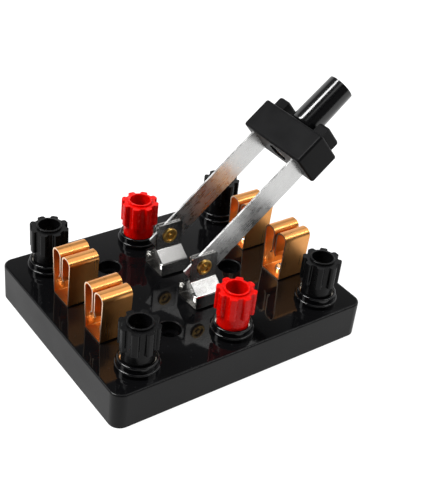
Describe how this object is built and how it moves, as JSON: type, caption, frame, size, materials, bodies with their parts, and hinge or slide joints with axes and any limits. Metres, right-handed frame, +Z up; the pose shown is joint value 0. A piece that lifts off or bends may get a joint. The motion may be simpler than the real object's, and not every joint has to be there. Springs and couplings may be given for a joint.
{
  "type": "knife blade switch",
  "caption": "Double-pole, double-throw knife switch on a moulded base, with spring jaws, hinged blades under one insulated handle, and binding posts that take plugs or wires.",
  "frame": {"origin": "centre of the base's underside, on the foot of its ribs", "axes": "+X is the throw direction, towards the jaws that the blades lean over at rest; +Y runs across the poles, and the front posts are at -Y; +Z is up"},
  "size_m": [0.1137, 0.08, 0.0807],
  "materials": {
    "base_black": "moulded, polished deck and satin sides",
    "collar_black": "moulded, glossy",
    "cap_black": "moulded, semi-gloss",
    "cap_red": "moulded, semi-gloss",
    "bar_black": "moulded, satin",
    "handle_black": "glossy",
    "blade_nickel": "nickel-plated, rubbed",
    "bracket_nickel": "nickel-plated, bright",
    "jaw_bronze": "bright rolled strip",
    "foot_rivet_steel": "bright",
    "pivot_rivet_brass": "bright, rolled over",
    "stud_nickel": "nickel-plated, turned",
    "washer_nickel": "nickel-plated",
    "insert_brass": "turned",
    "link_brass": "stamped strip",
    "fastener_zinc": "zinc-plated"
  },
  "bodies": {
    "base_assembly": {"base": "base_black", "left_front_jaw": "jaw_bronze", "left_back_jaw": "jaw_bronze", "right_front_jaw": "jaw_bronze", "right_back_jaw": "jaw_bronze", "front_bracket": "bracket_nickel", "front_pivot_rivet": "pivot_rivet_brass", "back_bracket": "bracket_nickel", "back_pivot_rivet": "pivot_rivet_brass", "jaw_rivets": "foot_rivet_steel", "bracket_rivets": "foot_rivet_steel", "stud_nuts": "fastener_zinc", "lock_washers": "fastener_zinc", "left_front_link": "link_brass", "left_front_collar": "collar_black", "left_front_stud": "stud_nickel", "left_back_link": "link_brass", "left_back_collar": "collar_black", "left_back_stud": "stud_nickel", "middle_front_link": "link_brass", "middle_front_collar": "collar_black", "middle_front_stud": "stud_nickel", "middle_back_link": "link_brass", "middle_back_collar": "collar_black", "middle_back_stud": "stud_nickel", "right_front_link": "link_brass", "right_front_collar": "collar_black", "right_front_stud": "stud_nickel", "right_back_link": "link_brass", "right_back_collar": "collar_black", "right_back_stud": "stud_nickel"},
    "blade_frame": {"front_blade": "blade_nickel", "back_blade": "blade_nickel", "crossbar": "bar_black", "handle": "handle_black", "handle_screw": "fastener_zinc"},
    "left_front_clamp": {"left_front_clamp_washer": "washer_nickel"},
    "left_front_cap": {"left_front_cap": "cap_black", "left_front_insert": "insert_brass"},
    "left_back_clamp": {"left_back_clamp_washer": "washer_nickel"},
    "left_back_cap": {"left_back_cap": "cap_black", "left_back_insert": "insert_brass"},
    "middle_front_clamp": {"middle_front_clamp_washer": "washer_nickel"},
    "middle_front_cap": {"middle_front_cap": "cap_red", "middle_front_insert": "insert_brass"},
    "middle_back_clamp": {"middle_back_clamp_washer": "washer_nickel"},
    "middle_back_cap": {"middle_back_cap": "cap_red", "middle_back_insert": "insert_brass"},
    "right_front_clamp": {"right_front_clamp_washer": "washer_nickel"},
    "right_front_cap": {"right_front_cap": "cap_black", "right_front_insert": "insert_brass"},
    "right_back_clamp": {"right_back_clamp_washer": "washer_nickel"},
    "right_back_cap": {"right_back_cap": "cap_black", "right_back_insert": "insert_brass"}
  },
  "joints": [
    {"name": "blade_swing", "type": "hinge", "parent": "base_assembly", "child": "blade_frame", "pos_m": [0, 0, 0.0273], "axis": [0, 1, 0], "range_deg": [-140.7, 39.3]},
    {"name": "left_front_clamp_lift", "type": "slide", "parent": "base_assembly", "child": "left_front_clamp", "axis": [0, 0, 1], "range_m": [0, 0.003]},
    {"name": "left_front_cap_turn", "type": "hinge", "parent": "left_front_clamp", "child": "left_front_cap", "pos_m": [-0.0364, -0.0297, 0.024], "axis": [0, 0, 1], "range_deg": [0, 1080]},
    {"name": "left_back_clamp_lift", "type": "slide", "parent": "base_assembly", "child": "left_back_clamp", "axis": [0, 0, 1], "range_m": [0, 0.003]},
    {"name": "left_back_cap_turn", "type": "hinge", "parent": "left_back_clamp", "child": "left_back_cap", "pos_m": [-0.0364, 0.0297, 0.024], "axis": [0, 0, 1], "range_deg": [0, 1080]},
    {"name": "middle_front_clamp_lift", "type": "slide", "parent": "base_assembly", "child": "middle_front_clamp", "axis": [0, 0, 1], "range_m": [0, 0.003]},
    {"name": "middle_front_cap_turn", "type": "hinge", "parent": "middle_front_clamp", "child": "middle_front_cap", "pos_m": [0, -0.0297, 0.024], "axis": [0, 0, 1], "range_deg": [0, 1080]},
    {"name": "middle_back_clamp_lift", "type": "slide", "parent": "base_assembly", "child": "middle_back_clamp", "axis": [0, 0, 1], "range_m": [0, 0.003]},
    {"name": "middle_back_cap_turn", "type": "hinge", "parent": "middle_back_clamp", "child": "middle_back_cap", "pos_m": [0, 0.0297, 0.024], "axis": [0, 0, 1], "range_deg": [0, 1080]},
    {"name": "right_front_clamp_lift", "type": "slide", "parent": "base_assembly", "child": "right_front_clamp", "axis": [0, 0, 1], "range_m": [0, 0.003]},
    {"name": "right_front_cap_turn", "type": "hinge", "parent": "right_front_clamp", "child": "right_front_cap", "pos_m": [0.0364, -0.0297, 0.024], "axis": [0, 0, 1], "range_deg": [0, 1080]},
    {"name": "right_back_clamp_lift", "type": "slide", "parent": "base_assembly", "child": "right_back_clamp", "axis": [0, 0, 1], "range_m": [0, 0.003]},
    {"name": "right_back_cap_turn", "type": "hinge", "parent": "right_back_clamp", "child": "right_back_cap", "pos_m": [0.0364, 0.0297, 0.024], "axis": [0, 0, 1], "range_deg": [0, 1080]}
  ],
  "couplings": [
    {"joint": "left_front_cap_turn", "follows": "left_front_clamp_lift", "rad_per_m": 6283.2},
    {"joint": "left_back_cap_turn", "follows": "left_back_clamp_lift", "rad_per_m": 6283.2},
    {"joint": "middle_front_cap_turn", "follows": "middle_front_clamp_lift", "rad_per_m": 6283.2},
    {"joint": "middle_back_cap_turn", "follows": "middle_back_clamp_lift", "rad_per_m": 6283.2},
    {"joint": "right_front_cap_turn", "follows": "right_front_clamp_lift", "rad_per_m": 6283.2},
    {"joint": "right_back_cap_turn", "follows": "right_back_clamp_lift", "rad_per_m": 6283.2}
  ]
}
